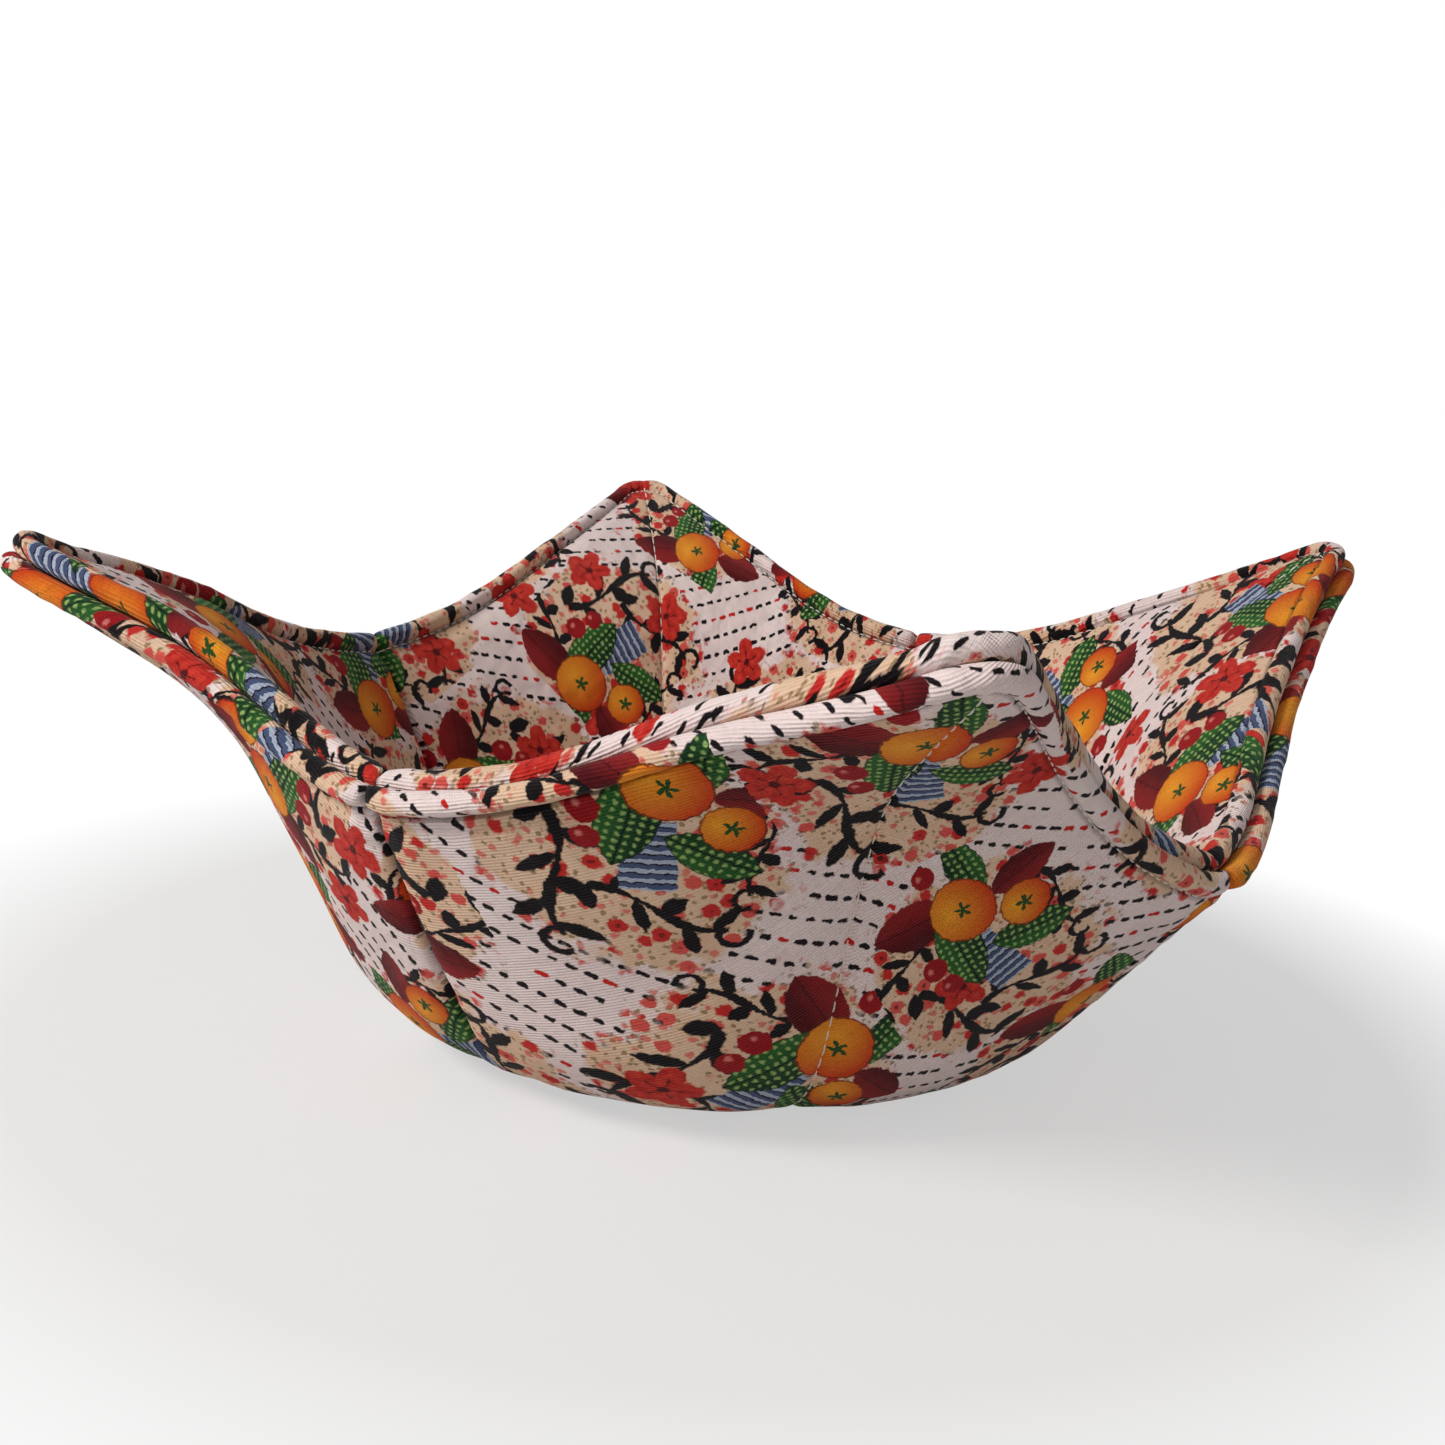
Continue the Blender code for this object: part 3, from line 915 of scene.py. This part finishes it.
def printed_cotton(name, shift_x, shift_y):
    mat, tree, shader = new_material(name, 0.88, 0.06)
    shader.inputs["Specular IOR Level"].default_value = 0.12
    shader.inputs["Sheen Roughness"].default_value = 0.5
    paint = Paint(tree)
    cloth = tree.nodes.new("ShaderNodeUVMap")
    cloth.uv_map = "cloth"
    weave_x, weave_y = paint.parts(cloth.outputs[0], "ShaderNodeSeparateXYZ")[:2]
    weave_x, weave_y = weave_x * UV_UNIT, weave_y * UV_UNIT

    # Ink creeps a little along the threads, so the edges of the print are not sharp
    creep_x = (paint.noise(weave_x, weave_y, 0.9) - 0.5) * 1.1
    creep_y = (paint.noise(weave_y, weave_x, 0.9) - 0.5) * 1.1
    colour = print_colour(paint, weave_x + creep_x + shift_x, weave_y + creep_y + shift_y)

    # Fine ribs across the cloth and uneven threads both ways
    ribs = ((weave_x + weave_y * 0.07) * (FULL_TURN / RIB_PITCH)).sin()
    cross = (weave_y * (FULL_TURN / CROSS_PITCH)).sin()
    slub = paint.noise(weave_x * 1.7, weave_y * 0.09, 1.0) - 0.5
    cross_slub = paint.noise(weave_x * 0.09, weave_y * 1.7, 1.0) - 0.5
    # Painted shade: the colour is darker in the sewn folds and dart seams, by the crease attribute
    # on the mesh
    crease = tree.nodes.new("ShaderNodeAttribute")
    crease.attribute_name = "crease"
    shade = ribs * 0.06 + cross * 0.015 + slub * 0.26 + cross_slub * 0.12
    shade = shade + 1.0 - Field(tree, crease.outputs["Fac"]) * CREASE_PAINTED_SHADE
    tone = tree.nodes.new("ShaderNodeHueSaturation")
    tree.links.new(colour, tone.inputs["Color"])
    tree.links.new(shade.socket, tone.inputs["Value"])
    tree.links.new(tone.outputs[0], shader.inputs["Base Color"])

    weave = ribs * 0.9 + cross * 0.25 + slub * 1.6 + cross_slub * 0.9
    rumple = paint.noise(weave_x, weave_y, 0.16, 3.0)
    fine = paint.bump(weave, 0.55, 0.00016)
    tree.links.new(paint.bump(rumple, 0.5, 0.0025, fine), shader.inputs["Normal"])
    return mat


def thread_material():
    mat, tree, shader = new_material("sewing_thread", 0.7, 0.2)
    paint = Paint(tree)
    where = tree.nodes.new("ShaderNodeTexCoord")
    x, y, z = paint.parts(where.outputs["Object"], "ShaderNodeSeparateXYZ")
    twist = ((x + y + z) * (FULL_TURN / (TWIST_PITCH * MM))).sin()
    fuzz = paint.noise(x, y, 2500.0, 2.0, z)
    colour = paint.mix((twist * 0.3 + fuzz).within(), *THREAD)
    tree.links.new(colour, shader.inputs["Base Color"])
    tree.links.new(paint.bump(twist, 0.6, 0.00006), shader.inputs["Normal"])
    return mat


# The pieces

outer_print = printed_cotton("outer_print_cloth", 11.0, -7.0)
lining_print = printed_cotton("lining_print_cloth", -143.0, 77.0)
thread = thread_material()

outer = half_mesh("outer_half", 1)
outer.data.materials.append(outer_print)
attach(outer, "root")
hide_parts("outer_cover", "outer_batting")

inner = half_mesh("inner_half", -1)
inner.data.materials.append(lining_print)
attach(inner, "root")
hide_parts("lining", "inner_batting")

for label, side, slot_name in (("outer", 1, "outer_print"), ("inner", -1, "lining_print")):
    for kind, found in (("topstitching", topstitching(side)), ("quilting_thread", quilting(side))):
        sewn_thread = stitch_mesh(f"{label}_{kind}", found)
        sewn_thread.data.materials.append(thread)
        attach(sewn_thread, "root")


# Floor, backdrop and light

FLOOR_BELOW = 0.0002
FLOOR_GREYS = ((0.62, 0.62, 0.62, 1.0), (0.66, 0.66, 0.66, 1.0))
FLOOR_SHOWN = 0.06
FLOOR_FADE = 0.13
FLOOR_LEAST_WHITE = 0.55
AMBIENT = 0.27
# Place as metres to the camera's right, towards the camera and up; size, power and tint
LAMPS = (
    ("key", (-0.92, 0.48, 0.75), 0.38, 13.0, (1.0, 0.975, 0.94)),
    ("fill", (0.5, 0.8, 0.25), 0.8, 0.5, (1.0, 0.86, 0.74)),
)


def seen_rays(tree):
    # 1 for rays that show the backdrop: from the camera, or by way of gloss or glass
    path = tree.nodes.new("ShaderNodeLightPath")
    kinds = ("Is Camera Ray", "Is Glossy Ray", "Is Transmission Ray")
    camera_ray, glossy, through = (Field(tree, path.outputs[kind]) for kind in kinds)
    return camera_ray.most(glossy).most(through)


def floor_material():
    mat, tree, shader = new_material("studio_floor", 0.9, 0.0)
    paint = Paint(tree)
    where = tree.nodes.new("ShaderNodeTexCoord")
    x, y = paint.parts(where.outputs["Object"], "ShaderNodeSeparateXYZ")[:2]
    tree.links.new(paint.mix(paint.noise(x, y, 6.0, 3.0), *FLOOR_GREYS), shader.inputs["Base Color"])
    # Away from the object the floor shows as the white of the backdrop
    fade = ((disc(x, y, 0.0) - FLOOR_SHOWN) / FLOOR_FADE).within().most(FLOOR_LEAST_WHITE)
    white = tree.nodes.new("ShaderNodeEmission")
    blend = tree.nodes.new("ShaderNodeMixShader")
    tree.links.new((seen_rays(tree) * fade).socket, blend.inputs[0])
    tree.links.new(shader.outputs[0], blend.inputs[1])
    tree.links.new(white.outputs[0], blend.inputs[2])
    tree.links.new(blend.outputs[0], tree.nodes["Material Output"].inputs["Surface"])
    return mat


bpy.ops.mesh.primitive_plane_add(size=40.0, location=(0.0, 0.0, -FLOOR_BELOW))
floor = bpy.context.object
floor.name = "floor"
floor.data.materials.append(floor_material())

world = bpy.data.worlds.new("studio")
bpy.context.scene.world = world
world.use_nodes = True
sky = world.node_tree
level = sky.nodes.new("ShaderNodeMapRange")
level.inputs["To Min"].default_value = AMBIENT
level.inputs["To Max"].default_value = 1.0
sky.links.new(seen_rays(sky).socket, level.inputs["Value"])
sky.nodes["Background"].inputs["Color"].default_value = (1.0, 1.0, 1.0, 1.0)
sky.links.new(level.outputs["Result"], sky.nodes["Background"].inputs["Strength"])

# Camera, at the photograph's angle
CAMERA_AZIMUTH = 32.61
CAMERA_ELEVATION = 12.27
CAMERA_ROLL = 3.57
CAMERA_DISTANCE = 0.3307
CAMERA_FOCAL_PIXELS = 1707.0
CAMERA_AIM_HEIGHT = 0.0568
CAMERA_SIDE_STEP = -0.0013
PHOTO_PIXELS = 1445.0
SENSOR_WIDTH = 36.0

azimuth, elevation = math.radians(CAMERA_AZIMUTH), math.radians(CAMERA_ELEVATION)
back = Vector((
    math.cos(azimuth) * math.cos(elevation),
    math.sin(azimuth) * math.cos(elevation),
    math.sin(elevation),
))
level_right = (-back).cross(Vector((0.0, 0.0, 1.0))).normalized()
level_up = level_right.cross(-back)
roll = math.radians(CAMERA_ROLL)
right = math.cos(roll) * level_right + math.sin(roll) * level_up
up = -math.sin(roll) * level_right + math.cos(roll) * level_up
eye = back * CAMERA_DISTANCE + level_right * CAMERA_SIDE_STEP
eye.z += CAMERA_AIM_HEIGHT
lens = bpy.data.cameras.new("camera")
lens.sensor_width = SENSOR_WIDTH
lens.lens = CAMERA_FOCAL_PIXELS / PHOTO_PIXELS * SENSOR_WIDTH
lens.clip_start = 0.01
camera = bpy.data.objects.new("camera", lens)
camera.matrix_world = Matrix((
    (right.x, up.x, back.x, eye.x),
    (right.y, up.y, back.y, eye.y),
    (right.z, up.z, back.z, eye.z),
    (0.0, 0.0, 0.0, 1.0),
))
bpy.context.scene.collection.objects.link(camera)
bpy.context.scene.camera = camera

aim = Vector((0.0, 0.0, 0.05))
for name, (to_right, toward, upward), size, power, tint in LAMPS:
    lamp = bpy.data.lights.new(name, "AREA")
    lamp.shape = "DISK"
    lamp.size = size
    lamp.energy = power
    lamp.color = tint
    obj = bpy.data.objects.new(name, lamp)
    obj.location = level_right * to_right + back * toward + Vector((0.0, 0.0, upward))
    obj.rotation_euler = (aim - obj.location).to_track_quat("-Z", "Y").to_euler()
    bpy.context.scene.collection.objects.link(obj)

bpy.context.scene.view_settings.view_transform = "Standard"

bpy.context.view_layer.update()
